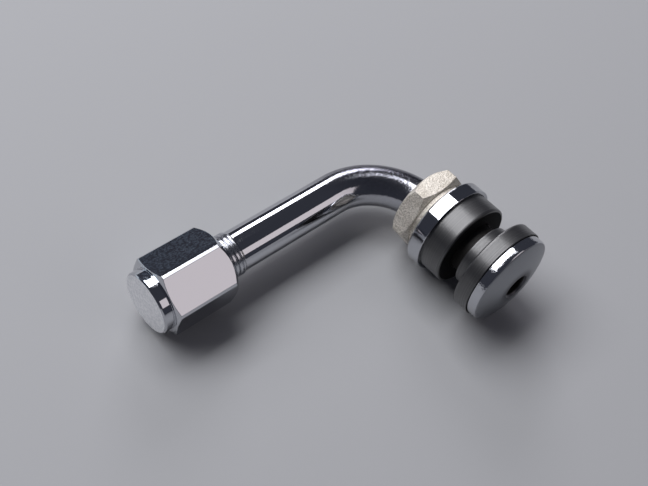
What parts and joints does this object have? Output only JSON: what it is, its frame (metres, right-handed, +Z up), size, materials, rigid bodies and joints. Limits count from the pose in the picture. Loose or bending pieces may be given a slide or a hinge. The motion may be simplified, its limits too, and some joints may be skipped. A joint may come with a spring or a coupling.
{
  "type": "tyre valve",
  "caption": "Right-angle clamp-in tyre valve: bent plated stem with flanged head, rubber grommets, cup washer, hexagon rim nut, spring core and hexagon cap.",
  "frame": {"origin": "on the resting surface, below the middle of the lying valve's box", "axes": "+Z up from the resting surface; the mouth's arm runs close to -X and the shank close to -Y"},
  "size_m": [0.0588, 0.0396, 0.0182],
  "materials": {
    "chrome_plate": "mirror chrome plate on brass",
    "nickel_plate": "matt nickel plate on brass",
    "core_brass": "bare turned brass",
    "spring_steel": "drawn spring wire",
    "black_rubber": "semi-matt moulded rubber",
    "seal_rubber": "matt sealing rubber",
    "red_gasket": "smooth gasket polymer"
  },
  "bodies": {
    "stem": {"valve_stem": "chrome_plate", "inner_grommet": "black_rubber", "core_plug": "core_brass", "core_barrel": "core_brass", "barrel_gasket": "red_gasket", "core_spring": "spring_steel"},
    "clamp_ring": {"cup_washer": "chrome_plate", "outer_grommet": "black_rubber"},
    "nut": {"rim_nut": "nickel_plate"},
    "cap_carrier": {"cap_seal": "seal_rubber"},
    "cap": {"valve_cap": "chrome_plate"},
    "pin": {"core_pin": "core_brass", "core_cup": "core_brass", "cup_gasket": "seal_rubber"}
  },
  "joints": [
    {"name": "clamp_slide", "type": "slide", "parent": "stem", "child": "clamp_ring", "axis": [0, -0.9958, 0.0913], "range_m": [-0.002, 0.002]},
    {"name": "nut_turn", "type": "hinge", "parent": "clamp_ring", "child": "nut", "pos_m": [0.02077, 0.00113, 0.00799], "axis": [0, -0.9958, 0.0913], "range_deg": [-720.01, 720.01]},
    {"name": "cap_slide", "type": "slide", "parent": "stem", "child": "cap_carrier", "axis": [-1, 0, 0], "range_m": [0, 0.0103]},
    {"name": "cap_turn", "type": "hinge", "parent": "cap_carrier", "child": "cap", "pos_m": [-0.02763, 0.01338, 0.00687], "axis": [-1, 0, 0], "range_deg": [0, 4671.51]},
    {"name": "pin_press", "type": "slide", "parent": "stem", "child": "pin", "axis": [1, 0, 0], "range_m": [0, 0.0012], "stiffness_N_per_m": 400, "springref_m": -0.004, "deforming": ["core_spring"]}
  ],
  "couplings": [
    {"joint": "nut_turn", "follows": "clamp_slide", "rad_per_m": 6283.2},
    {"joint": "cap_turn", "follows": "cap_slide", "rad_per_m": 7915.8}
  ]
}
